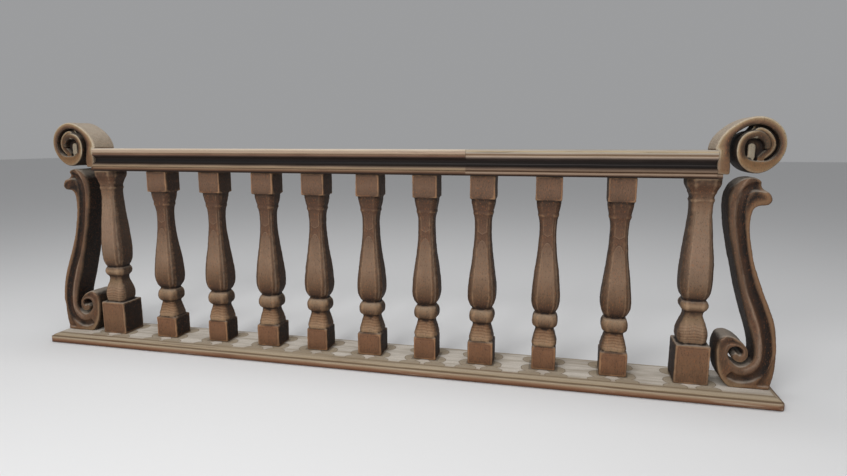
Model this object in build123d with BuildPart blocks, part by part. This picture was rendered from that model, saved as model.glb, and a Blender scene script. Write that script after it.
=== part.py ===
from build123d import *
import math
import os

os.makedirs("parts", exist_ok=True)

# Carved wooden balustrade: a moulded base plate, nine small vase balusters, two
# heavier end posts, a moulded handrail that ends in rolled volutes, and an S-scroll
# bracket outside each post. Millimetres, +Z up, +X along the rail, origin at the
# middle of the base plate's underside.

# Base plate
base_height = 40.0
board_half_depth = 102.0
edge_run = 48.0
end_run = 30.0
nose_corner = 38.0

# Small balusters, with the gaps between their centres from the middle one outwards
baluster_height = 789.0
centre_gaps = [247.0, 238.0, 260.0, 271.0]
belly_half = 57.0
wide_plinth_half = 53.0
narrow_plinth_half = 48.0
baluster_plinth_height = 98.0
block_half = 51.0
block_height = 94.0
baluster_corner = (1.2, -2.0)
worn_edge = 4.0

# End posts
post_gap = 286.0
post_half = 62.5
cap_half = 60.0
post_plinth_height = 155.0
post_corner = (1.0, 8.5)

# Rail
subrail_height = 51.0
handrail_height = 52.0
rail_half_depth = 70.0
fascia_half_depth = 56.0
fascia_height = 17.0
fascia_reach = 55.0

# Volute at each end of the rail
stem_gap = 33.0
stem_width = 40.0
volute_gap = 162.0
eye_rise = 6.0
volute_radius = 113.0
volute_half_depth = 64.0
volute_rim = 8.0
shelf_half_depth = 54.0
tip_half_depth = 52.0
web_half_depth = 34.0

# S-scroll bracket outside each post
bracket_reach = 290.0
bracket_overhang = 11.0
bracket_rise = 7.0
bracket_half_depth = 56.0
bracket_rim = 7.0
groove_radius = 18.0
groove_depth = 13.0
spandrel_depth = 8.0

# Derived places
places = [sum(centre_gaps[:count]) for count in range(len(centre_gaps) + 1)]
row = [-place for place in reversed(places[1:])] + places
post_x = places[-1] + post_gap
rail_bottom = base_height + baluster_height
rail_middle = rail_bottom + subrail_height
rail_top = rail_middle + handrail_height
stem_x = post_x + stem_gap
coil_x = post_x + volute_gap
eye_z = rail_top + eye_rise
bracket_height = baluster_height + bracket_rise
board_half_length = post_x + bracket_reach - bracket_overhang


def save(part, name):
    """Label a finished piece and write it out."""
    part.label = name
    export_step(part, f"parts/{name}.step")


def heading(first, second):
    """The shared direction where two runs meet nearly in line, else nothing."""
    arriving = Vector(*first[-1]) - Vector(*first[-2])
    leaving = Vector(*second[1]) - Vector(*second[0])
    if first[-1] != second[0] or arriving.get_angle(leaving) > 30:
        return None
    return leaving if len(second) == 2 else arriving


def outline(runs):
    """A closed outline from runs of points: two points make a straight, more a curve."""
    with BuildLine() as edge:
        for before, run, after in zip(runs[-1:] + runs[:-1], runs, runs[1:] + runs[:1]):
            if len(run) == 2:
                Line(*run)
            else:
                start = heading(before, run)
                end = heading(run, after)
                if start or end:
                    start = start or Vector(*run[1]) - Vector(*run[0])
                    end = end or Vector(*run[-1]) - Vector(*run[-2])
                    Spline(*run, tangents=(start, end))
                else:
                    Spline(*run)
            if math.dist(run[-1], after[0]) > 0.001:
                Line(run[-1], after[0])
    return edge.edges()


def fitted(runs, width, height):
    """The runs of a profile, stretched to reach a real width and height."""
    drawn_width = max(x for run in runs for x, z in run)
    drawn_height = max(z for run in runs for x, z in run)
    return [[(x * width / drawn_width, z * height / drawn_height) for x, z in run] for run in runs]


def mirrored(runs):
    """The same runs on the other side of the middle line, to close an outline."""
    return [[(-x, z) for x, z in reversed(run)] for run in reversed(runs)]


# The board of the base plate carries every upright.
with BuildPart() as base_board:
    with Locations((0, 0, base_height / 2)):
        Box(2 * board_half_length, 2 * board_half_depth, base_height)
save(base_board.part, "base_board")

# Its edge moulding, seen end-on: a quirk at the board, a shallow slope, a full nosing.
edge_runs = [
    [(0, 0), (0, 40)],
    [(3, 38), (14, 37), (26, 33)],
    [(28, 29), (40, 27), (48, 16), (43, 4), (36, 0)],
]
edges = {
    "front": (Vector(0, -1, 0), board_half_depth, edge_run, board_half_length, end_run),
    "back": (Vector(0, 1, 0), board_half_depth, edge_run, board_half_length, end_run),
    "left": (Vector(-1, 0, 0), board_half_length, end_run, board_half_depth, edge_run),
    "right": (Vector(1, 0, 0), board_half_length, end_run, board_half_depth, edge_run),
}
for side, (outward, distance, run_out, half_length, run_along) in edges.items():
    along = outward.cross(Vector(0, 0, 1))
    with BuildPart() as edge_moulding:
        with BuildSketch(Plane(outward * distance, x_dir=outward, z_dir=along)):
            make_face(outline(fitted(edge_runs, run_out, base_height)))
        extrude(amount=half_length + run_along, both=True)
        # Mitred where the front's wider run meets the end's narrower one.
        for end in (along, along * -1):
            corner = outward * distance + end * half_length
            mitre = end * run_out - outward * run_along
            split(bisect_by=Plane(corner, z_dir=mitre), keep=Keep.BOTTOM)
        with BuildSketch(Plane.XY):
            RectangleRounded(
                2 * (board_half_length + end_run), 2 * (board_half_depth + edge_run), nose_corner
            )
        extrude(amount=base_height, mode=Mode.INTERSECT)
    save(edge_moulding.part, f"base_edge_{side}")


def square_block(half, foot, height):
    """A square block whose upright and top edges are worn round."""
    with BuildPart() as block:
        with Locations((0, 0, foot + height / 2)):
            Box(2 * half, 2 * half, height)
        uprights = block.edges().filter_by(Axis.Z)
        fillet(uprights + block.faces().sort_by(Axis.Z)[-1].edges(), worn_edge)
    return block.part


def carved_upright(runs, corner, plinth_half, plinth_height, head_half, head_height):
    """A square-section vase upright: flat faces from side to side, arcs at the corners.

    Its outline is cut through both ways, then the corners are rounded off by turning
    the same outline wider than the flats: corner holds the growth and a constant.
    """
    growth, spare = corner
    turned = [[(growth * x + spare, z) for x, z in run] for run in runs]
    foot = runs[0][0][1]
    head = runs[-1][-1][1]
    with BuildPart() as upright:
        with BuildSketch(Plane.XZ):
            make_face(outline(runs + mirrored(runs)))
        extrude(amount=2 * plinth_half, both=True)
        with BuildSketch(Plane.YZ):
            make_face(outline(runs + mirrored(runs)))
        extrude(amount=2 * plinth_half, both=True, mode=Mode.INTERSECT)
        with BuildPart(mode=Mode.PRIVATE) as lathe:
            with BuildSketch(Plane.XZ):
                make_face(outline(turned + [[(0, head), (0, foot)]]))
            revolve(axis=Axis.Z)
        add(lathe.part, mode=Mode.INTERSECT)
        with Locations((0, 0, plinth_height)):
            add(upright.part, mode=Mode.REPLACE)
        add(square_block(plinth_half, 0, plinth_height))
        if head_height:
            with Locations((0, 0, baluster_height - head_height / 2)):
                Box(2 * head_half, 2 * head_half, head_height)
    return upright.part


# Small baluster above its plinth: lip, bell and neck, ring, vase, band, flare.
baluster_runs = [
    [(48, 0), (48, 5)],
    [(50, 6), (51, 13), (48.5, 24), (44, 42), (39.5, 58), (37, 70), (38, 77)],
    [(40, 79), (48, 86), (51.5, 100), (51, 115), (47, 127), (39, 136)],
    [(38, 140), (47, 151), (53.5, 166), (57.5, 186), (58, 212), (55.5, 250), (50, 298), (44, 342),
     (38, 390), (34.5, 430), (34, 465), (36.5, 495), (38.5, 504)],
    [(39, 506), (41.5, 509)],
    [(41.5, 521), (40, 524)],
    [(41.5, 526), (44, 542), (46.5, 562), (48.5, 582)],
    [(48.5, 582), (48.5, 597)],
]
turned_height = baluster_height - baluster_plinth_height - block_height
baluster_runs = fitted(baluster_runs, belly_half, turned_height)
carved = [
    carved_upright(
        baluster_runs, baluster_corner, half, baluster_plinth_height, block_half, block_height
    )
    for half in (wide_plinth_half, narrow_plinth_half)
]
for number, place in enumerate(row):
    with BuildPart() as baluster:
        with Locations((place, 0, base_height)):
            add(carved[number % 2])
    save(baluster.part, f"baluster_{number + 1}")

# End post above its plinth: bell and neck, ring, vase, bead, cove, spreading cap.
post_runs = [
    [(50, 0), (50, 5)],
    [(52, 7), (56, 21), (56, 43), (48, 75), (37, 103), (35, 117), (38, 126)],
    [(40, 128), (47, 135), (52, 148), (48, 163), (41, 171)],
    [(41, 174), (52, 191), (58, 215), (60, 257), (57, 320), (50, 392), (43, 465),
     (40, 505), (40, 543)],
    [(39, 545), (43, 550), (43, 557), (40, 561)],
    [(41, 563), (43, 572), (46, 579)],
    [(48, 581), (48, 588)],
    [(50, 590), (57, 603), (62, 619)],
    [(62, 619), (62, 634)],
]
post_runs = fitted(post_runs, cap_half, baluster_height - post_plinth_height)
end_post = carved_upright(post_runs, post_corner, post_half, post_plinth_height, 0, 0)
for side, sign in (("left", -1), ("right", 1)):
    with BuildPart() as post:
        with Locations((sign * post_x, 0, base_height)):
            add(end_post)
    save(post.part, f"post_{side}")


def rail_member(runs, height, foot):
    """A length of rail between the two stems, with the same moulding front and back."""
    with BuildPart() as member:
        with BuildSketch(Plane.YZ):
            make_face(outline(fitted(runs, rail_half_depth, height)))
        extrude(amount=stem_x, both=True)
        mirror(about=Plane.XZ)
        with Locations((0, 0, foot)):
            add(member.part, mode=Mode.REPLACE)
    return member.part


# Lower member of the rail: two beads and the lower half of the cove, and the fascia
# strip that runs on over the posts.
subrail_runs = [
    [(0, 51), (0, 0)],
    [(56, 0), (56, 4)],
    [(58, 4), (63, 6), (65, 11), (63, 17), (58, 19)],
    [(58, 20), (64, 22), (67, 28), (64, 34), (58, 36)],
    [(55, 37), (49, 43), (48, 51)],
]
with BuildPart() as subrail:
    add(rail_member(subrail_runs, subrail_height, rail_bottom))
    with Locations((0, 0, rail_bottom + fascia_height / 2)):
        Box(2 * (post_x + fascia_reach), 2 * fascia_half_depth, fascia_height)
save(subrail.part, "subrail")

# Handrail: the upper half of the cove, a small bead, and the full round of the grip.
handrail_runs = [
    [(0, 52), (0, 0)],
    [(48, 0), (50, 8), (58, 15)],
    [(61, 16), (66, 19), (68, 23), (66, 28), (63, 30)],
    [(64, 31), (69, 36), (70, 41), (66, 49), (56, 52)],
]
save(rail_member(handrail_runs, handrail_height, rail_middle), "handrail")

# Volute, drawn for the right-hand end. Distances from the coil's eye to the outer and
# inner edge of the strand, one for each eighth of a turn clockwise: the outer ones from
# the crest on, the inner ones from over the stem.
outer_edge = [113, 101, 89, 83, 88, 80, 72, 72, 62, 46, 36]
inner_edge = [90, 84, 74, 65, 54, 43, 47, 45, 45, 34, 24, 18]


def around(eighths, radius):
    """The point at a distance from the eye, some eighths of a turn from the left."""
    angle = math.pi - math.tau * eighths / 8
    reach = radius * volute_radius / outer_edge[0]
    return (coil_x + reach * math.cos(angle), eye_z + reach * math.sin(angle))


outer = [around(step + 2, radius) for step, radius in enumerate(outer_edge)]
inner = [around(step + 1, radius) for step, radius in enumerate(inner_edge)]
stem_foot = rail_bottom + fascia_height
stem_face = stem_x + stem_width
shoulder = [
    (stem_x - 12, rail_top),
    (stem_x - 3, rail_top + 36),
    (stem_x + 22, rail_top + 70),
    (stem_x + 58, rail_top + 98),
]
throat = [(stem_face, rail_top + 38), (stem_face - 4, rail_top + 6), (stem_face, stem_foot)]
with BuildPart() as volute:
    with BuildSketch(Plane.XZ):
        make_face(outline([
            [(stem_x, stem_foot), (stem_x, rail_top)],
            shoulder + outer,
            inner[::-1] + throat,
        ]))
    extrude(amount=volute_half_depth, both=True)
    long_edges = volute.edges().filter_by(lambda edge: edge.length > 4 * volute_radius)
    fillet(long_edges, volute_rim)
    # A sunk web closes the coil between its turns.
    with BuildSketch(Plane.XZ):
        strand_middle = [
            around(step + 2, (outside + inside) / 2)
            for step, (outside, inside) in enumerate(zip(outer_edge[:8], inner_edge[1:9]))
        ]
        make_face(outline([strand_middle]))
    extrude(amount=web_half_depth, both=True)
    # A shelf fills the right-hand side of the channel, short of the outer rim.
    with BuildSketch(Plane.XZ):
        shelf_outside = [around(1.5, 62)]
        shelf_outside += [around(step + 2, radius - 10) for step, radius in enumerate(inner_edge[1:5])]
        shelf_outside += [around(6, 50)]
        shelf_inside = [around(step + 2, radius - 6) for step, radius in enumerate(outer_edge[8:])]
        make_face(outline([shelf_outside, [around(6, 30), around(5, 20)], shelf_inside[::-1]]))
    extrude(amount=shelf_half_depth, both=True)
    # The strand ends in an upright tip inside the coil.
    with BuildSketch(Plane.XZ):
        with Locations((coil_x - 20, eye_z - 12)):
            SlotOverall(60, 24, rotation=90)
    extrude(amount=tip_half_depth, both=True)
for side, part in (("left", volute.part.mirror(Plane.YZ)), ("right", volute.part)):
    save(part, f"volute_{side}")

# Bracket, drawn for the right-hand end as distances out from the post's middle line and
# heights above the base plate: up the outer side from the foot, round beak and nose,
# down the inner side into the curl, then back over the curl's crest to the foot.
bracket_runs = [
    [(274, 0), (283, 42), (287, 125), (279, 212), (253, 305)],
    [(253, 305), (214, 400)],
    [(214, 400), (175, 520), (160, 610), (161, 664), (172, 688), (192, 695), (213, 698),
     (223, 712), (220, 730), (208, 745), (194, 754), (187, 764), (184, 778), (172, 791),
     (150, 796), (122, 789), (94, 760), (82, 716), (84, 653), (94, 590), (108, 527), (124, 462)],
    [(124, 462), (142, 390)],
    [(142, 390), (181, 258), (200, 200), (209, 160), (211, 125), (195, 97), (165, 85),
     (138, 102), (124, 128), (131, 154), (152, 161), (172, 148), (171, 134), (162, 128),
     (150, 138)],
    [(150, 138), (135, 121)],
    [(135, 121), (150, 106), (168, 101), (186, 113), (192, 137), (181, 165), (158, 187),
     (128, 201), (101, 197), (84, 165), (83, 112), (96, 50), (134, 0)],
    [(134, 0), (274, 0)],
]
# Points that the worn rims pass through, on the curl's crest and on the other runs.
crest_points = [(158, 187)]
strand_points = [(287, 125), (233.5, 352.5), (160, 610), (133, 426), (181, 258)]
# The groove on front and back runs between two beads, from the notch under the nose
# down the strand and along the foot.
groove = [
    (205, 757), (180, 762), (156, 762), (136, 748), (124, 720), (121, 680), (123, 640), (130, 591),
    (141, 528), (156, 465), (183, 380), (209, 320), (230, 265), (246, 205), (253, 150),
    (249, 100), (233, 64), (208, 44), (180, 36), (152, 40), (131, 52)]
# A flat sunk corner is left outside the outer bead, above the foot.
spandrel = [
    [(292, 180), (284, 154), (268, 92), (252, 60), (234, 30), (222, 12)],
    [(222, 12), (292, 12)],
]


def on_bracket(points):
    """Bracket measures brought to their place beside the right-hand post."""
    across = bracket_reach / 287
    up = bracket_height / 796
    return [(post_x + x * across, base_height + z * up) for x, z in points]


with BuildPart() as bracket:
    with BuildSketch(Plane.XZ):
        make_face(outline([on_bracket(run) for run in bracket_runs]))
    extrude(amount=bracket_half_depth, both=True)
    # Its rims are worn round: the curl's crest first, then the rest of the strand.
    for points in (crest_points, strand_points):
        rims = [
            edge for edge in bracket.edges()
            if any(edge.distance_to(Vertex(x, face, z)) < 1
                   for x, z in on_bracket(points) for face in (-bracket_half_depth, bracket_half_depth))
        ]
        fillet(rims, bracket_rim)
    for face in (-1, 1):
        middle = face * (bracket_half_depth + groove_radius - groove_depth)
        with BuildLine() as groove_path:
            Spline(*[(x, middle, z) for x, z in on_bracket(groove)])
        with BuildSketch(Plane(groove_path.line @ 0, z_dir=groove_path.line % 0)):
            Circle(groove_radius)
        sweep(path=groove_path.line, mode=Mode.SUBTRACT)
        with BuildSketch(Plane.XZ.offset(-face * bracket_half_depth)):
            make_face(outline([on_bracket(run) for run in spandrel]))
        extrude(amount=face * spandrel_depth, mode=Mode.SUBTRACT)
for side, part in (("left", bracket.part.mirror(Plane.YZ)), ("right", bracket.part)):
    save(part, f"bracket_{side}")
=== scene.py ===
import math

import bpy
import numpy as np
from mathutils import Matrix, Vector
from mathutils.kdtree import KDTree


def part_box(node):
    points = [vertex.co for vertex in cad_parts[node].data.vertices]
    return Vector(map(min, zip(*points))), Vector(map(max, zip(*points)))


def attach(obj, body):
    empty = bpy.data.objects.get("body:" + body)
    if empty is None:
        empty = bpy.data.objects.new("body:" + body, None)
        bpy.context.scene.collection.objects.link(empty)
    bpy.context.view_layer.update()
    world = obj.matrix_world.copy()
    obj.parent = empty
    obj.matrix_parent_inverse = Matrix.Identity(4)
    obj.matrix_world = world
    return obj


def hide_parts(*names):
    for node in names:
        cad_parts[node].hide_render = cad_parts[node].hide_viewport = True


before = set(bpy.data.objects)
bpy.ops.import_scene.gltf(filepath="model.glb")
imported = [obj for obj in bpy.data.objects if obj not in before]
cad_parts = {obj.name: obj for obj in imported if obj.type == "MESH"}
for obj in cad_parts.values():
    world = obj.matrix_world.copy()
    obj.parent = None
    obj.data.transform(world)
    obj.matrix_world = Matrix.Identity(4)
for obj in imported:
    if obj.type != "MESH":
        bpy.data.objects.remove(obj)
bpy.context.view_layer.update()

# The base plate: one long board that carries every upright, and a moulded edge mitred
# round it and glued on. The board's top is bare and pale with dust, but for a darker
# scalloped patch round each plinth, and the edge's nosing is rubbed down to brown.


class Finish:
    """A socket of a finish's nodes. Sums on it add Math nodes."""

    def __init__(self, socket):
        self.socket = socket
        self.tree = socket.id_data

    def node(self, kind, settings=None, sockets=None, output=0):
        """Any node: its settings first, then the values or links of its sockets."""
        made = self.tree.nodes.new("ShaderNode" + kind)
        for name, value in (settings or {}).items():
            if name == "stops":
                ramp = made.color_ramp
                while len(ramp.elements) < len(value):
                    ramp.elements.new(0.5)
                for element, (position, colour) in zip(ramp.elements, value):
                    element.position = position
                    element.color = (*colour, 1)
            else:
                setattr(made, name, value)
        for name, value in (sockets or {}).items():
            if isinstance(value, Finish):
                self.tree.links.new(value.socket, made.inputs[name])
            else:
                made.inputs[name].default_value = value
        return Finish(made.outputs[output])

    def sum(self, operation, first, second=0.0):
        return self.node("Math", {"operation": operation}, {0: first, 1: second})

    def __add__(self, other):
        return self.sum("ADD", self, other)

    def __radd__(self, other):
        return self.sum("ADD", other, self)

    def __sub__(self, other):
        return self.sum("SUBTRACT", self, other)

    def __rsub__(self, other):
        return self.sum("SUBTRACT", other, self)

    def __mul__(self, other):
        return self.sum("MULTIPLY", self, other)

    def __rmul__(self, other):
        return self.sum("MULTIPLY", other, self)

    def __truediv__(self, other):
        return self.sum("DIVIDE", self, other)

    def __abs__(self):
        return self.sum("ABSOLUTE", self)

    def __neg__(self):
        return self.sum("MULTIPLY", self, -1.0)

    def most(self, other):
        return self.sum("MAXIMUM", self, other)

    def least(self, other):
        return self.sum("MINIMUM", self, other)

    def root(self):
        return self.sum("SQRT", self)

    def sine(self):
        return self.sum("SINE", self)

    def parts(self):
        """The three numbers of a place or a direction."""
        split = self.tree.nodes.new("ShaderNodeSeparateXYZ")
        self.tree.links.new(self.socket, split.inputs[0])
        return [Finish(part) for part in split.outputs]

    def between(self, low, high):
        """A mask: 0 at low, 1 at high, smooth between them."""
        return self.node(
            "MapRange", {"interpolation_type": "SMOOTHSTEP"},
            {"Value": self, "From Min": low, "From Max": high},
        )

    def line(self, at, half_width):
        """A mask: 1 where the value is at a place, fading to 0 at half_width from it."""
        return abs(self - at).between(half_width, 0.0)

    def noise(self, scale, detail=3.0, rough=0.5):
        """Soft random values over a place."""
        return self.node(
            "TexNoise", {}, {"Vector": self, "Scale": scale, "Detail": detail, "Roughness": rough}
        )

    def stretched(self, scale, shift=(0, 0, 0)):
        """A place pulled out along some axes, for grain."""
        return self.node("Mapping", {}, {"Vector": self, "Location": shift, "Scale": scale})


def tone(red, green, blue):
    """A colour in 255 steps, as seen, made linear as the shaders want it."""
    return tuple(
        step / 255 / 12.92 if step < 11 else ((step / 255 + 0.055) / 1.055) ** 2.4
        for step in (red, green, blue)
    )


def coat(mask, below, above):
    """One colour over another, where the mask lets it show."""
    colours = {0: mask, 6: below, 7: above}
    for number, value in colours.items():
        if isinstance(value, tuple):
            colours[number] = (*value, 1)
    return mask.node("Mix", {"data_type": "RGBA"}, colours, output=2)


def new_finish(name):
    """An empty material, its shader, and the place on the piece to build from."""
    material = bpy.data.materials.new(name)
    material.use_nodes = True
    tree = material.node_tree
    place = tree.nodes.new("ShaderNodeTexCoord").outputs["Object"]
    return material, tree.nodes["Principled BSDF"], Finish(place)


wax_gloss = 0.22


def lay_on(shader, colour, roughness, height, depth):
    """Joins colour, roughness and relief to a shader. Depth is the relief's, in metres."""
    relief = height.node("Bump", {}, {"Strength": 1.0, "Distance": depth, "Height": height})
    shader.inputs["Specular IOR Level"].default_value = wax_gloss
    for name, value in (("Base Color", colour), ("Roughness", roughness), ("Normal", relief)):
        shader.id_data.links.new(value.socket, shader.inputs[name])


def dress(node, finish):
    """Gives a CAD piece its finish."""
    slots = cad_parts[node].data.materials
    slots.clear()
    slots.append(finish)


board_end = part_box("base_board")[1].x
board_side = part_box("base_board")[1].y
edge_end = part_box("base_edge_right")[1].x
edge_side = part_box("base_edge_back")[1].y
board_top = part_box("base_board")[1].z

dust = tone(212, 204, 193)
dust_shade = tone(172, 162, 149)
patch_brown = tone(152, 136, 112)
patch_rim = tone(104, 86, 64)
crevice_brown = tone(44, 32, 24)

base_finish, base_shader, place = new_finish("dusty_base_wood")
x, y, z = place.parts()
past_end = (abs(x) - board_end) / (edge_end - board_end)
past_side = (abs(y) - board_side) / (edge_side - board_side)
on_end = past_end.sum("GREATER_THAN", past_end, past_side)
along = x * (1 - on_end) + y * on_end
across = y * (1 - on_end) + x * on_end
grain_place = place.node("CombineXYZ", {}, {0: along * 2.5, 1: across * 55, 2: z * 55})
grain = grain_place.noise(1.0, 6.0, 0.62)
blotch = place.node("CombineXYZ", {}, {0: along * 5, 1: across * 14, 2: z * 14}).noise(1.0, 3.0)
speckle = place.noise(420.0, 2.0, 0.7)
weave = place.noise(900.0, 1.0, 0.5)

board_colour = coat((grain * 0.5 + blotch * 0.5).between(0.36, 0.58), dust_shade, dust)
board_colour = coat(speckle.between(0.50, 0.64) * 0.45, board_colour, patch_brown)
board_colour = coat(weave.between(0.50, 0.62) * 0.40, board_colour, tone(128, 114, 96))

# Round each plinth the patch is three lobes a side, given by their middle's Y and their
# reach along X and Y. The patch's value is 1 on its rim and less inside.
patch_lobes = ((-0.036, 0.036, 0.036), (0.058, 0.034, 0.034), (-0.092, 0.044, 0.026))
lobe_overlap = 0.004
uprights = [f"baluster_{number}" for number in range(1, 10)] + ["post_left", "post_right"]
beside = None
for name in uprights:
    low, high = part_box(name)
    middle = (low.x + high.x) / 2
    gap = abs(x - middle) - (high.x - middle)
    beside = gap if beside is None else beside.least(gap)
patch = None
for lobe_y, reach_x, reach_y in patch_lobes:
    wide = (beside + lobe_overlap) / reach_x
    deep = (y - lobe_y) / reach_y
    lobe = wide * wide + deep * deep
    patch = lobe if patch is None else patch.least(lobe)
patch = patch + (place.noise(45.0) - 0.5) * 0.3
front = -y
clear = patch.between(1.15, 1.6) * front.between(0.085, 0.070)
board_colour = coat(clear * speckle * 0.4, board_colour, tone(214, 206, 195))
board_colour = coat(grain.between(0.50, 0.36) * 0.35, board_colour, patch_brown)
board_colour = coat(patch.between(1.08, 0.94) * 0.70, board_colour, patch_brown)
worn_patch = patch.between(1.0, 0.4) * weave.between(0.46, 0.56)
board_colour = coat(worn_patch * 0.4, board_colour, tone(118, 98, 74))
board_colour = coat(patch.line(1.0, 0.15) * 0.85, board_colour, patch_rim)
board_colour = coat(front.between(0.085, 0.098) * 0.55, board_colour, patch_brown)
plinth_reach = 0.052
# A dark line round each plinth's foot: dirt, and painted shade where the plinth meets the board.
foot_dirt_and_shade = beside.most(abs(y) - plinth_reach).between(0.0030, 0.0)
board_colour = coat(foot_dirt_and_shade * 0.4, board_colour, crevice_brown)

# The edge's tones from the floor up, as shares of the board's height, with painted shade
# in its two quirks and a painted highlight on the nosing's top.
edge_colour = z.node("ValToRGB", {"stops": [
    (0.00, tone(72, 46, 33)),
    (0.14, tone(102, 66, 46)),
    (0.34, tone(116, 80, 57)),
    (0.50, tone(128, 98, 75)),
    (0.60, tone(146, 125, 102)),
    (0.67, tone(164, 148, 126)),
    (0.715, tone(112, 94, 74)),
    (0.76, tone(122, 104, 82)),
    (0.81, tone(158, 141, 117)),
    (0.93, tone(170, 155, 133)),
    (0.97, tone(112, 97, 76)),
]}, {0: z / board_top})
edge_colour = coat(grain.between(0.53, 0.68) * 0.6, edge_colour, tone(94, 62, 44))
edge_colour = coat(grain.between(0.46, 0.32) * 0.45, edge_colour, tone(188, 174, 152))
edge_colour = coat(weave.between(0.52, 0.64) * 0.3, edge_colour, tone(92, 68, 52))
nosing_stain = blotch.between(0.54, 0.66) * z.between(0.022, 0.012)
edge_colour = coat(nosing_stain * 0.55, edge_colour, tone(104, 68, 48))
mitre = abs(past_end - past_side).between(0.05, 0.0) * past_end.between(0.0, 0.05)
edge_colour = coat(mitre * 0.7, edge_colour, crevice_brown)

on_board = past_end.most(past_side).between(0.01, 0.0)
base_colour = coat(on_board, edge_colour, board_colour)
lay_on(base_shader, base_colour, 0.72 + grain * 0.2, grain + speckle * 0.25, 0.0008)
for name in ("board", "edge_front", "edge_back", "edge_left", "edge_right"):
    dress(f"base_{name}", base_finish)

# The nine small balusters: each is one square stick of the same wood, carved by hand to
# a vase between a plinth and a block, so no two are quite alike. They are waxed brown and
# worn on the edges, painted with shade in the quirks and on the sides and with highlights
# on the rounds, and stand between board and rail on tenons.
upright_mm = 789
small_plinth_height = 0.098
wide_plinth_half = 0.053
narrow_plinth_half = 0.048
head_block_half = 0.051
skin_step = 0.0036
chisel_depth = 0.0016


def skinned(node, name, step, rounds):
    """A copy of a carved CAD piece, its surface remade in small even faces and eased."""
    bpy.ops.object.select_all(action="DESELECT")
    piece = bpy.data.objects.new(name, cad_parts[node].data.copy())
    bpy.context.scene.collection.objects.link(piece)
    bpy.context.view_layer.objects.active = piece
    piece.select_set(True)
    bpy.ops.object.mode_set(mode="EDIT")
    bpy.ops.mesh.select_all(action="SELECT")
    bpy.ops.mesh.remove_doubles(threshold=0.00002)
    bpy.ops.object.mode_set(mode="OBJECT")
    skin = piece.modifiers.new("skin", "REMESH")
    skin.mode = "VOXEL"
    skin.voxel_size = step
    bpy.ops.object.modifier_apply(modifier="skin")
    ease = piece.modifiers.new("ease", "SMOOTH")
    ease.factor = 0.5
    ease.iterations = rounds
    bpy.ops.object.modifier_apply(modifier="ease")
    return piece


def hand_carved(piece, wander, chisel):
    """Gives a skin the slow wander and the small tool marks of carving by hand."""
    bpy.ops.object.select_all(action="DESELECT")
    bpy.context.view_layer.objects.active = piece
    piece.select_set(True)
    wander_size, chisel_size = 0.075, 0.016
    for scale, depth in ((wander_size, wander), (chisel_size, chisel)):
        marks = bpy.data.textures.new("marks", "CLOUDS")
        marks.noise_scale = scale
        marks.noise_depth = 1
        pushed = piece.modifiers.new("pushed", "DISPLACE")
        pushed.texture = marks
        pushed.texture_coords = "LOCAL"
        pushed.strength = depth
        bpy.ops.object.modifier_apply(modifier="pushed")
    bpy.ops.object.shade_smooth()


def mark_hollows(piece, name, rounds):
    """Keeps, at each point, how far the surface lies below its surroundings, in metres.

    The surroundings are the mesh evened out some rounds, so more rounds look further.
    """
    mesh = piece.data
    count = len(mesh.vertices)
    places = np.empty(3 * count)
    mesh.vertices.foreach_get("co", places)
    places = places.reshape(count, 3)
    normals = np.empty(3 * count)
    mesh.vertices.foreach_get("normal", normals)
    ends = np.empty(2 * len(mesh.edges), int)
    mesh.edges.foreach_get("vertices", ends)
    first, second = ends.reshape(-1, 2).T
    neighbours = np.bincount(ends, minlength=count)
    level = places.copy()
    for _ in range(rounds):
        for axis in range(3):
            spread = np.bincount(first, level[second, axis], count)
            spread += np.bincount(second, level[first, axis], count)
            level[:, axis] = spread / neighbours
    below = ((level - places) * normals.reshape(count, 3)).sum(1)
    kept = mesh.attributes.new(name, "FLOAT", "POINT")
    kept.data.foreach_set("value", below.astype(np.float32))


def stands_for(piece, node, finish):
    """The finished piece takes its CAD node's place."""
    piece.data.materials.clear()
    piece.data.materials.append(finish)
    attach(piece, "root")
    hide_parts(node)


def carved_wood(name, shift, pattern, wear, wear_tone, ledge_dust, dirt_and_shade=0.92):
    """Waxed carved wood: dark in its hollows with painted shade and dirt, worn on its edges,
    dusty on its ledges.

    Pattern gives its tones, shift sets its grain apart from its neighbours', and the last
    three say how strongly the wear, the ledge dust and the painted shade and dirt in the hollows
    cover, from 0 to 1.
    """
    material, shader, place = new_finish(name)
    grain = place.stretched((75, 75, 6), shift).noise(1.0, 6.0, 0.6)
    cloud = place.stretched((1, 1, 1), shift).noise(16.0, 3.0)
    speckle = place.noise(520.0, 2.0, 0.7)
    colour = pattern(place, cloud)
    weave = place.noise(1100.0, 1.0, 0.5)
    shade = 0.30 + grain * 0.42 + cloud * 0.28 + speckle * 0.26 + weave * 0.26
    colour = colour.node("HueSaturation", {}, {"Value": shade, "Color": colour})
    fleck = place.stretched((1, 1, 0.35), shift).noise(330.0, 2.0, 0.6)
    colour = coat(fleck.between(0.58, 0.68) * 0.45, colour, tone(146, 90, 52))
    colour = coat(fleck.between(0.42, 0.33) * 0.55, colour, tone(58, 40, 29))
    hollow = place.node("Attribute", {"attribute_name": "hollow"}, output=2)
    valley = place.node("Attribute", {"attribute_name": "valley"}, output=2)
    up = place.node("NewGeometry", output=1).parts()[2]
    worn = (-hollow).between(0.0005, 0.0024) * (0.5 + cloud.between(0.35, 0.65) * 0.5)
    colour = coat(worn * wear, colour, wear_tone)
    colour = coat(up.between(0.35, 0.90) * (0.5 + speckle * 0.5) * ledge_dust, colour, dust_shade)
    # Painted shade, with dirt, darkening the hollows and the broad valleys towards black.
    hollow_shade_and_dirt = hollow.between(0.0003, 0.0018).most(valley.between(0.0010, 0.0055) * 0.8)
    colour = coat(hollow_shade_and_dirt * dirt_and_shade, colour, tone(26, 18, 14))
    lay_on(shader, colour, 0.58 + grain * 0.22, grain + speckle * 0.3, 0.0006)
    return material


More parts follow.
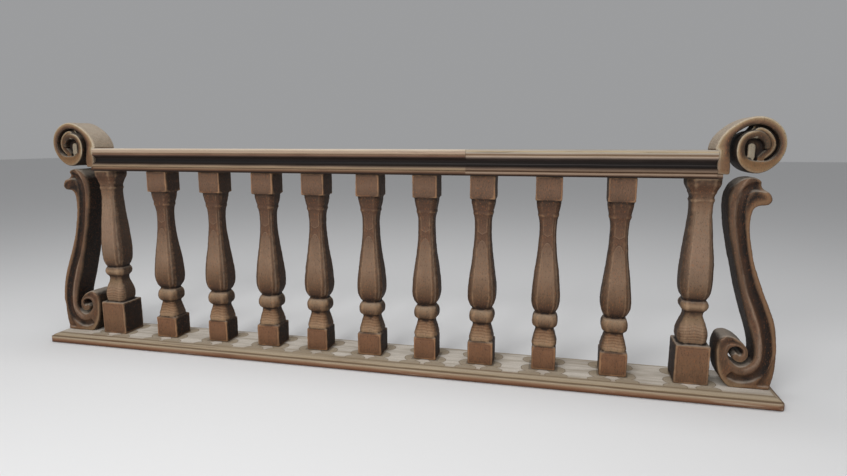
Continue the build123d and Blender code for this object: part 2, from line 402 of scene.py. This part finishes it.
def upright_pattern(middle, foot_top, plinth_half, tones, vase_low, vase_high, arch_height,
                    head_height, head_half):
    """The tones of one upright from its foot up, in mm, with its scribed and paler panels and its
    painted shade and highlights.

    Heights are in metres above the board, apart from foot_top, which is from the floor.
    """

    def pattern(place, cloud):
        x, y, z = place.parts()
        above = z - board_top
        from_middle = abs(x - middle)
        near = from_middle.least(abs(y))
        far = from_middle.most(abs(y))
        # 0 in the middle of a flat, 1 at a corner.
        share = near / far
        up = above * (1000 / upright_mm)
        stops = [(level / upright_mm, shade) for level, shade in tones]
        colour = up.node("ValToRGB", {"stops": stops}, {0: up + (cloud - 0.5) * 0.012})

        # The vase: painted shade darkening it towards its corners, with a pale arched panel on
        # each flat and, above a brown gap, a pale panel that runs on to the flare.
        on_vase = (above - vase_low).between(0.0, 0.02) * (vase_high - above).between(0.0, 0.02)
        colour = coat(on_vase * share.between(0.50, 0.85) * 0.5, colour, tone(76, 56, 42))
        arch = arch_height - above - from_middle * from_middle * 75
        beyond = above - arch_height - 0.020 - from_middle * 0.6
        inside = (0.64 - share) * far * 1.2
        panel = inside.least(arch.most(beyond))
        between_panels = panel.between(0.001, -0.001) * inside.between(-0.001, 0.001)
        colour = coat(on_vase * between_panels * 0.5, colour, tone(84, 56, 40))
        colour = coat(on_vase * panel.line(0.0, 0.0022) * 0.55, colour, tone(64, 42, 30))
        colour = coat(on_vase * panel.line(0.0035, 0.0025) * 0.25, colour, tone(160, 134, 108))
        # A painted highlight along the vase's corners on the +X side.
        corner = share.between(0.80, 0.95) * (x - middle).between(0.0, 0.01)
        colour = coat(on_vase * corner * 0.35, colour, tone(160, 138, 116))

        # The block at its head and the plinth at its foot: a scribed border on each face,
        # rubbed orange outside it, and painted shade in a dark line under the block where the
        # flare ends.
        above_head = above - head_height
        on_head = above_head.between(0.000, 0.003)
        head_inset = (head_half - near).least(above_head)
        colour = coat(on_head * head_inset.line(0.008, 0.0018) * 0.45, colour, tone(76, 50, 36))
        rubbed = on_head * head_inset.between(0.007, 0.003) * cloud.between(0.45, 0.62)
        colour = coat(rubbed * 0.45, colour, tone(146, 96, 62))
        colour = coat(above_head.line(0.001, 0.004) * 0.6, colour, tone(52, 37, 28))
        on_plinth = z.between(foot_top - 0.001, foot_top - 0.004)
        inset = (plinth_half - near).least(foot_top - z).least(above)
        colour = coat(on_plinth * inset.line(0.010, 0.0016) * 0.6, colour, tone(72, 46, 32))
        rubbed = on_plinth * inset.between(0.009, 0.004) * cloud.between(0.45, 0.60)
        colour = coat(rubbed * 0.5, colour, tone(150, 104, 70))

        # The bell: level gouge strokes.
        up_bell = z - foot_top
        on_bell = up_bell.between(0.010, 0.020) * (0.078 - up_bell).between(0.0, 0.010)
        strokes = ((z + from_middle * 0.15) * 560 + cloud * 9).sine()
        colour = coat(on_bell * strokes.between(0.2, 0.9) * 0.35, colour, tone(84, 58, 40))
        colour = coat(on_bell * strokes.between(-0.4, -1.0) * 0.25, colour, tone(164, 136, 106))

        # Two cuts along each corner, and painted shade on the sides that face along the rail,
        # darkest on the plinths.
        for cut in (0.74, 0.86):
            colour = coat(on_vase * share.line(cut, 0.025) * 0.45, colour, tone(56, 40, 30))
        side = abs(place.node("NewGeometry", output=1).parts()[0])
        side_specks = place.noise(700.0, 1.0).between(0.54, 0.64)
        side_shade_brown = coat(side_specks * 0.45, tone(40, 29, 23), tone(104, 92, 80))
        side_shade_brown = coat(on_plinth * 0.9, side_shade_brown, tone(24, 18, 15))
        colour = coat(side.between(0.60, 0.92) * 0.85, colour, side_shade_brown)
        return coat(side.between(0.85, 0.95) * on_plinth * 0.8, colour, tone(26, 19, 15))

    return pattern


# Heights above the board in mm: plinth, bell, ring, vase, flare and block. The dark
# quirks and pale rounds in them are painted shade and highlight.
baluster_tones = [
    (0, tone(66, 47, 34)),
    (8, tone(98, 70, 50)),
    (40, tone(116, 83, 60)),
    (90, tone(122, 87, 64)),
    (97, tone(62, 44, 33)),
    (104, tone(146, 120, 93)),
    (118, tone(145, 117, 91)),
    (142, tone(132, 101, 75)),
    (166, tone(112, 82, 59)),
    (176, tone(50, 36, 27)),
    (184, tone(72, 54, 40)),
    (206, tone(122, 97, 75)),
    (228, tone(146, 123, 99)),
    (237, tone(84, 62, 46)),
    (241, tone(36, 26, 20)),
    (247, tone(40, 28, 21)),
    (262, tone(74, 52, 38)),
    (290, tone(94, 70, 51)),
    (335, tone(114, 89, 69)),
    (385, tone(128, 103, 83)),
    (455, tone(122, 98, 79)),
    (515, tone(108, 84, 67)),
    (570, tone(97, 72, 56)),
    (604, tone(90, 66, 51)),
    (660, tone(84, 60, 46)),
    (686, tone(66, 48, 36)),
    (693, tone(44, 33, 25)),
    (700, tone(96, 73, 57)),
    (740, tone(108, 83, 66)),
    (775, tone(102, 77, 60)),
    (787, tone(56, 42, 34)),
]

# The carver set the small band under each flare higher than the CAD model has it, so
# each skin is stretched below the band and shortened above it.
band_before = [0, 0.440, 0.604, 0.624, 0.690, 0.789]
band_after = [0, 0.440, 0.630, 0.647, 0.690, 0.789]
middles = []
for number in range(1, 10):
    low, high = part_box(f"baluster_{number}")
    middles.append((low.x + high.x) / 2)

# Balusters 1 and 2 have the two widths of plinth, and the rest are copies of them.
firsts = [skinned(f"baluster_{number}", f"carved_baluster_{number}", skin_step, 2)
          for number in (1, 2)]
for first in firsts:
    for point in first.data.vertices:
        point.co.z = np.interp(point.co.z - board_top, band_before, band_after) + board_top
uncarved = [first.data.copy() for first in firsts]
for number, middle in enumerate(middles, 1):
    alike = 1 - number % 2
    if number <= 2:
        piece = firsts[alike]
    else:
        piece = bpy.data.objects.new(f"carved_baluster_{number}", uncarved[alike].copy())
        piece.data.transform(Matrix.Translation((middle - middles[alike], 0, 0)))
        bpy.context.scene.collection.objects.link(piece)
    hand_carved(piece, 0.0030, chisel_depth)
    mark_hollows(piece, "hollow", 10)
    mark_hollows(piece, "valley", 60)
    finish = carved_wood(
        f"carved_baluster_wood_{number}",
        (number * 3.1, number * 1.7, 0),
        upright_pattern(
            middle,
            board_top + small_plinth_height,
            wide_plinth_half if number % 2 else narrow_plinth_half,
            baluster_tones,
            vase_low=0.245,
            vase_high=0.625,
            arch_height=0.528,
            head_height=0.695,
            head_half=head_block_half,
        ),
        wear=0.45,
        wear_tone=tone(168, 132, 98),
        ledge_dust=0.25,
    )
    stands_for(piece, f"baluster_{number}", finish)

# The two heavier end posts, carved as the balusters are, from thicker sticks, with a
# spreading cap in place of the block. They hold up the rail's ends and the volutes.
post_half = 0.0625
post_plinth_height = 0.155
no_panel = 0.90
# The posts' tones from the board up, in mm, with painted shade in the quirks and a painted
# highlight on the ring.
post_tones = [
    (0, tone(74, 54, 40)),
    (10, tone(102, 76, 56)),
    (80, tone(116, 86, 63)),
    (148, tone(118, 86, 64)),
    (154, tone(66, 48, 36)),
    (162, tone(126, 103, 81)),
    (190, tone(124, 97, 75)),
    (222, tone(140, 115, 93)),
    (255, tone(124, 101, 77)),
    (275, tone(92, 70, 53)),
    (282, tone(48, 35, 26)),
    (292, tone(104, 80, 61)),
    (308, tone(138, 114, 90)),
    (320, tone(104, 80, 61)),
    (328, tone(46, 34, 25)),
    (342, tone(78, 58, 44)),
    (362, tone(102, 78, 58)),
    (398, tone(120, 97, 78)),
    (440, tone(130, 106, 87)),
    (520, tone(136, 111, 92)),
    (600, tone(136, 112, 92)),
    (652, tone(130, 106, 86)),
    (684, tone(120, 94, 74)),
    (716, tone(104, 80, 62)),
    (745, tone(88, 62, 46)),
    (776, tone(74, 54, 41)),
    (787, tone(50, 38, 30)),
]
for side in ("left", "right"):
    low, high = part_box(f"post_{side}")
    piece = skinned(f"post_{side}", f"carved_post_{side}", skin_step, 2)
    hand_carved(piece, 0.0028, chisel_depth)
    mark_hollows(piece, "hollow", 10)
    mark_hollows(piece, "valley", 60)
    # An arch and a head higher than the post give it no panels and no block.
    finish = carved_wood(
        f"carved_post_wood_{side}",
        (low.x * 7, 0, 0),
        upright_pattern(
            (low.x + high.x) / 2,
            board_top + post_plinth_height,
            post_half,
            post_tones,
            vase_low=0.335,
            vase_high=0.680,
            arch_height=no_panel,
            head_height=no_panel,
            head_half=0.060,
        ),
        wear=0.45,
        wear_tone=tone(172, 142, 112),
        ledge_dust=0.5,
    )
    stands_for(piece, f"post_{side}", finish)

# The rail in two members, moulded front and back and glued into one: two beads below,
# a cove, a bead, and the round of the grip. Painted shade darkens it under the beads and
# turns the cove black, and painted highlights lie on the bead crests and the grip's top.
# Two lengths meet a third of the way along, and the left one's beads are worn off.
rail_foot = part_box("subrail")[0].z
rail_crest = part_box("handrail")[1].z
rail_finish, rail_shader, place = new_finish("moulded_rail_wood")
x, y, z = place.parts()
grain = place.stretched((2.2, 60, 60)).noise(1.0, 6.0, 0.62)
drift = place.stretched((6, 30, 30)).noise(1.0, 3.0)
speckle = place.noise(420.0, 2.0, 0.7)
height = (z - rail_foot) / (rail_crest - rail_foot)
waved = height + (drift - 0.5) * 0.05
seam_x = 0.418
on_right = x.between(seam_x - 0.002, seam_x + 0.002)

# The tones of the two lengths from the rail's foot up, as shares of its height, with their
# painted shade and highlights.
right_length = height.node("ValToRGB", {"stops": [
    (0.00, tone(32, 24, 20)),
    (0.05, tone(66, 46, 34)),
    (0.09, tone(114, 91, 74)),
    (0.125, tone(144, 124, 106)),
    (0.155, tone(124, 102, 83)),
    (0.19, tone(90, 63, 46)),
    (0.235, tone(128, 107, 89)),
    (0.30, tone(76, 60, 49)),
    (0.37, tone(26, 20, 17)),
    (0.45, tone(24, 19, 17)),
    (0.56, tone(30, 23, 20)),
    (0.63, tone(62, 52, 48)),
    (0.70, tone(118, 102, 91)),
    (0.75, tone(164, 146, 127)),
    (0.80, tone(146, 120, 96)),
    (0.82, tone(128, 102, 80)),
    (0.86, tone(162, 150, 135)),
    (0.91, tone(168, 156, 138)),
    (0.935, tone(160, 138, 100)),
    (0.96, tone(156, 146, 133)),
    (1.00, tone(152, 143, 131)),
]}, {0: waved})
left_length = height.node("ValToRGB", {"stops": [
    (0.00, tone(38, 29, 25)),
    (0.06, tone(64, 45, 34)),
    (0.12, tone(98, 70, 50)),
    (0.17, tone(136, 112, 90)),
    (0.22, tone(158, 136, 110)),
    (0.27, tone(132, 112, 90)),
    (0.31, tone(86, 71, 59)),
    (0.36, tone(36, 28, 23)),
    (0.47, tone(20, 17, 16)),
    (0.58, tone(38, 29, 26)),
    (0.68, tone(56, 42, 35)),
    (0.72, tone(84, 60, 48)),
    (0.765, tone(122, 94, 75)),
    (0.82, tone(164, 142, 120)),
    (0.86, tone(174, 150, 128)),
    (0.90, tone(152, 130, 115)),
    (0.94, tone(166, 150, 128)),
    (0.97, tone(184, 166, 146)),
    (1.00, tone(190, 181, 170)),
]}, {0: waved})
rail_colour = coat(on_right, left_length, right_length)
rail_shade = 0.68 + grain * 0.48 + speckle * 0.12
rail_colour = rail_colour.node("HueSaturation", {}, {"Value": rail_shade, "Color": rail_colour})
scratch = grain.between(0.60, 0.72) * height.between(0.36, 0.30).most(height.between(0.64, 0.70))
rail_colour = coat(scratch * 0.5, rail_colour, tone(88, 60, 42))
handled = grain.between(0.46, 0.36) * height.between(0.84, 0.90) * on_right
rail_colour = coat(handled * 0.5, rail_colour, tone(88, 72, 58))
top_dust = height.between(0.965, 0.998) * (0.4 + speckle * 0.6)
rail_colour = coat(top_dust * 0.5, rail_colour, dust_shade)
cove_streak = waved.line(0.455, 0.018) * x.between(-0.4, 0.4)
rail_colour = coat(cove_streak * 0.5, rail_colour, tone(78, 70, 68))
seam = x.line(seam_x, 0.0022) * height.between(0.30, 0.36)
rail_colour = coat(seam * 0.6, rail_colour, tone(30, 23, 20))
lay_on(rail_shader, rail_colour, 0.55 + grain * 0.25, grain + speckle * 0.2, 0.0007)
for name in ("subrail", "handrail"):
    dress(name, rail_finish)

# A volute closes each end of the rail: a stem standing on the fascia, then a strand
# rolled outwards twice round its upright tip, all carved from one block. Dust lies on
# its back, its rims carry a painted highlight and its faces painted shade towards the
# channel of the roll, which is painted black as shade.
volute_step = 0.0028
volute_face = 0.064
eye_gap = 0.162
eye_rise = 0.006


def mark_strand(piece, eye_x, eye_z, face, straight_above=0):
    """Keeps how far across the strand each point lies: 0 at its outer rim, 1 at its inner.

    The strand's walls are the points well inside its faces. They are outer or inner by
    whether they look away from the eye or, higher than straight_above, from the middle
    of the railing.
    """
    mesh = piece.data
    outer_wall, inner_wall = [], []
    for point in mesh.vertices:
        if abs(point.co.y) < face - 0.012 and abs(point.normal.y) < 0.4:
            looks_out = point.normal.dot(point.co - Vector((eye_x, point.co.y, eye_z)))
            if straight_above and point.co.z > straight_above:
                looks_out = point.normal.x * eye_x
            (outer_wall if looks_out > 0 else inner_wall).append((point.co.x, 0, point.co.z))
    trees = []
    for wall in (outer_wall, inner_wall):
        trees.append(KDTree(len(wall)))
        for number, spot in enumerate(wall):
            trees[-1].insert(spot, number)
        trees[-1].balance()
    across = []
    for point in mesh.vertices:
        outer, inner = (tree.find((point.co.x, 0, point.co.z))[2] for tree in trees)
        across.append(outer / (outer + inner + 0.0001))
    mesh.attributes.new("across", "FLOAT", "POINT").data.foreach_set("value", across)


def volute_pattern(sign, eye_x, eye_z):
    """The patterns of one volute, measured from the eye of its roll."""

    def pattern(place, cloud):
        x, y, z = place.parts()
        out_x = (x - eye_x) * sign
        up = z - eye_z
        away = (out_x * out_x + up * up).root()
        across = place.node("Attribute", {"attribute_name": "across"}, output=2)

        # The faces, from the strand's outer rim to its inner: a painted highlight on the first
        # turn's rim and painted shade darkening it towards the channel, browner on the second
        # turn with a painted highlight along its crest, and plain brown where the stem leaves the
        # rail.
        outer_strand = across.node("ValToRGB", {"stops": [
            (0.00, tone(192, 182, 162)),
            (0.13, tone(174, 158, 134)),
            (0.24, tone(146, 122, 92)),
            (0.50, tone(122, 95, 72)),
            (0.70, tone(84, 60, 45)),
            (0.86, tone(42, 31, 24)),
            (1.00, tone(22, 17, 14)),
        ]}, {0: across + (cloud - 0.5) * 0.25})
        inner_strand = across.node("ValToRGB", {"stops": [
            (0.00, tone(58, 43, 32)),
            (0.14, tone(86, 65, 47)),
            (0.26, tone(138, 118, 94)),
            (0.36, tone(98, 75, 53)),
            (0.70, tone(66, 48, 35)),
            (1.00, tone(28, 21, 16)),
        ]}, {0: across + (cloud - 0.5) * 0.25})
        colour = coat(away.between(0.066, 0.058), outer_strand, inner_strand)
        stem = up.between(-0.010, -0.050) * out_x.between(-0.070, -0.085)
        colour = coat(stem * 0.8, colour, tone(112, 83, 60))
        low = up.between(-0.022, -0.048) * out_x.between(-0.075, -0.060)
        colour = coat(low * 0.75, colour, tone(118, 88, 58))

        # The strand's walls: speckled with dust on top, and painted shade, near black, inside the
        # roll.
        facing = place.node("NewGeometry", output=1).parts()
        wall = abs(facing[1]).between(0.75, 0.45)
        specks = place.noise(620.0, 1.0).between(0.46, 0.60)
        dusty_back = coat(specks * 0.7, tone(176, 162, 143), tone(92, 76, 62))
        wall_brown = coat(facing[2].between(-0.25, 0.15), tone(112, 91, 73), dusty_back)
        colour = coat(wall, colour, wall_brown)
        throat = (facing[0] * sign).between(0.0, 0.3) * out_x.between(-0.06, -0.08)
        sunk_shade = wall * away.between(0.096, 0.084).most(throat)
        colour = coat(sunk_shade * 0.93, colour, tone(24, 19, 16))

        # The upright tip of the strand, rubbed pale on its two faces.
        tip = abs(out_x + 0.020).between(0.015, 0.010) * away.between(0.046, 0.040)
        return coat(tip * abs(y).between(0.045, 0.050) * 0.85, colour, tone(152, 142, 124))

    return pattern


for side, sign in (("left", -1), ("right", 1)):
    eye_x = sign * (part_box("post_right")[0].x + post_half + eye_gap)
    eye_z = rail_crest + eye_rise
    piece = skinned(f"volute_{side}", f"carved_volute_{side}", volute_step, 5)
    hand_carved(piece, 0.0024, 0.0010)
    # The tool marks don't lift the crest past the CAD volute's top.
    volute_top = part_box(f"volute_{side}")[1].z
    for point in piece.data.vertices:
        point.co.z = min(point.co.z, volute_top)
    mark_hollows(piece, "hollow", 10)
    mark_hollows(piece, "valley", 60)
    mark_strand(piece, eye_x, eye_z, volute_face)
    finish = carved_wood(
        f"carved_volute_wood_{side}",
        (sign * 5, 2, 1),
        volute_pattern(sign, eye_x, eye_z),
        wear=0.12,
        wear_tone=tone(176, 156, 124),
        ledge_dust=0.4,
    )
    stands_for(piece, f"volute_{side}", finish)

# An S-scroll bracket props each end from outside the post: its foot curls inwards on the
# base plate and its top outwards in a beak, with a deep groove between two round beads
# carved along the strand. It is the darkest wood, with painted shade, near black, on the
# sides that face the post.
bracket_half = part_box("bracket_right")[1].y
curl_x = 1.449
curl_z = 0.176
curl_top = 0.22


def bracket_pattern(post_side):
    """The patterns of one bracket. Post_side is the way from it to its post, along X."""

    def pattern(place, cloud):
        x, y, z = place.parts()
        across = place.node("Attribute", {"attribute_name": "across"}, output=2)
        facing = place.node("NewGeometry", output=1).parts()

        # The strand from its outer bead over the groove to its inner bead, with painted
        # highlights on the bead crests and painted shade, near black, in the groove; then the
        # plainer curl, beak and foot.
        strand = across.node("ValToRGB", {"stops": [
            (0.00, tone(60, 44, 33)),
            (0.05, tone(112, 82, 58)),
            (0.13, tone(122, 92, 66)),
            (0.21, tone(84, 60, 43)),
            (0.30, tone(36, 27, 21)),
            (0.38, tone(28, 21, 17)),
            (0.48, tone(64, 44, 32)),
            (0.60, tone(90, 65, 49)),
            (0.69, tone(138, 116, 99)),
            (0.77, tone(100, 76, 60)),
            (0.86, tone(80, 58, 45)),
            (0.95, tone(58, 42, 33)),
            (1.00, tone(42, 31, 25)),
        ]}, {0: across + (cloud - 0.5) * 0.10})
        out_x = x * -post_side
        curl = z.between(0.24, 0.17) * out_x.between(1.500, 1.470)
        # A painted highlight on the curl's outer round.
        curl_highlight_brown = coat(across.between(0.35, 0.0), tone(94, 70, 52), tone(142, 118, 90))
        colour = coat(curl * 0.9, strand, curl_highlight_brown)
        beak = z.between(0.66, 0.71) * out_x.between(1.515, 1.535)
        # The beak painted darker below and paler on top, as shade and highlight.
        beak_shade_and_highlight = coat(z.between(0.745, 0.785), tone(92, 62, 42), tone(128, 98, 74))
        colour = coat(beak * 0.85, colour, beak_shade_and_highlight)
        foot = z.between(0.105, 0.075) * out_x.between(1.500, 1.530)
        colour = coat(foot * 0.8, colour, tone(104, 76, 55))
        colour = coat(cloud.between(0.52, 0.66) * 0.30, colour, tone(104, 66, 42))

        # Painted shade: dark on whatever lies deeper than the faces, near black on the sides that
        # face the post, and darker on the sides away from it.
        sunk_shade = (bracket_half - 0.002 - abs(y)).between(0.0, 0.010)
        colour = coat(sunk_shade * abs(facing[1]).between(0.3, 0.7) * 0.30, colour, tone(30, 22, 17))
        inner = (facing[0] * post_side).between(0.30, 0.75)
        colour = coat(inner * 0.9, colour, tone(26, 21, 18))
        return coat((-facing[0] * post_side).between(0.5, 0.9) * 0.5, colour, tone(60, 42, 30))

    return pattern


for side, sign in (("left", -1), ("right", 1)):
    piece = skinned(f"bracket_{side}", f"carved_bracket_{side}", skin_step, 12)
    hand_carved(piece, 0.0028, chisel_depth)
    mark_hollows(piece, "hollow", 14)
    mark_hollows(piece, "valley", 60)
    mark_strand(piece, sign * curl_x, curl_z, bracket_half, straight_above=curl_top)
    finish = carved_wood(
        f"carved_bracket_wood_{side}",
        (sign * 9, 4, 2),
        bracket_pattern(-sign),
        wear=0.25,
        wear_tone=tone(140, 112, 86),
        ledge_dust=0.75,
        dirt_and_shade=0.45,
    )
    stands_for(piece, f"bracket_{side}", finish)

# The picture: a plain pale floor just under the base plate, three soft lamps, an even
# sky, and the camera where the photograph was taken from.
bpy.ops.object.select_all(action="DESELECT")
bpy.ops.mesh.primitive_plane_add(size=60, location=(0, 0, -0.0005))
floor = bpy.context.object
floor.name = "floor"
floor_finish, floor_shader, place = new_finish("floor_paper")
floor_shader.inputs["Base Color"].default_value = (0.75, 0.75, 0.75, 1)
floor_shader.inputs["Roughness"].default_value = 0.9
floor.data.materials.append(floor_finish)

world = bpy.data.worlds.new("studio")
world.use_nodes = True
world.node_tree.nodes["Background"].inputs["Color"].default_value = (0.97, 0.98, 1.0, 1)
world.node_tree.nodes["Background"].inputs["Strength"].default_value = 0.34
bpy.context.scene.world = world


def lamp(name, spot, aim, size, watts):
    """A square soft lamp turned towards a point."""
    light = bpy.data.lights.new(name, "AREA")
    light.size = size
    light.energy = watts
    holder = bpy.data.objects.new(name, light)
    bpy.context.scene.collection.objects.link(holder)
    holder.location = spot
    holder.rotation_euler = (Vector(aim) - Vector(spot)).to_track_quat("-Z", "Y").to_euler()


lamp("key_lamp", (-0.9, -4.6, 3.2), (0, 0, 0.5), 2.4, 160)
lamp("fill_lamp", (3.2, -3.6, 2.2), (0, 0, 0.5), 2.5, 26)
lamp("top_lamp", (0, -0.3, 4.2), (0, 0, 0.5), 3.0, 70)

eye_data = bpy.data.cameras.new("camera")
eye_data.sensor_width = 36
eye_data.lens = 24.42
eye = bpy.data.objects.new("camera", eye_data)
bpy.context.scene.collection.objects.link(eye)
eye.location = (0.7865, -2.333, 0.9596)
turn, dip = -0.2336, 0.1648
looking = Vector((math.sin(turn) * math.cos(dip), math.cos(turn) * math.cos(dip), -math.sin(dip)))
eye.rotation_euler = looking.to_track_quat("-Z", "Y").to_euler()
bpy.context.scene.camera = eye
bpy.context.scene.view_settings.view_transform = "Standard"
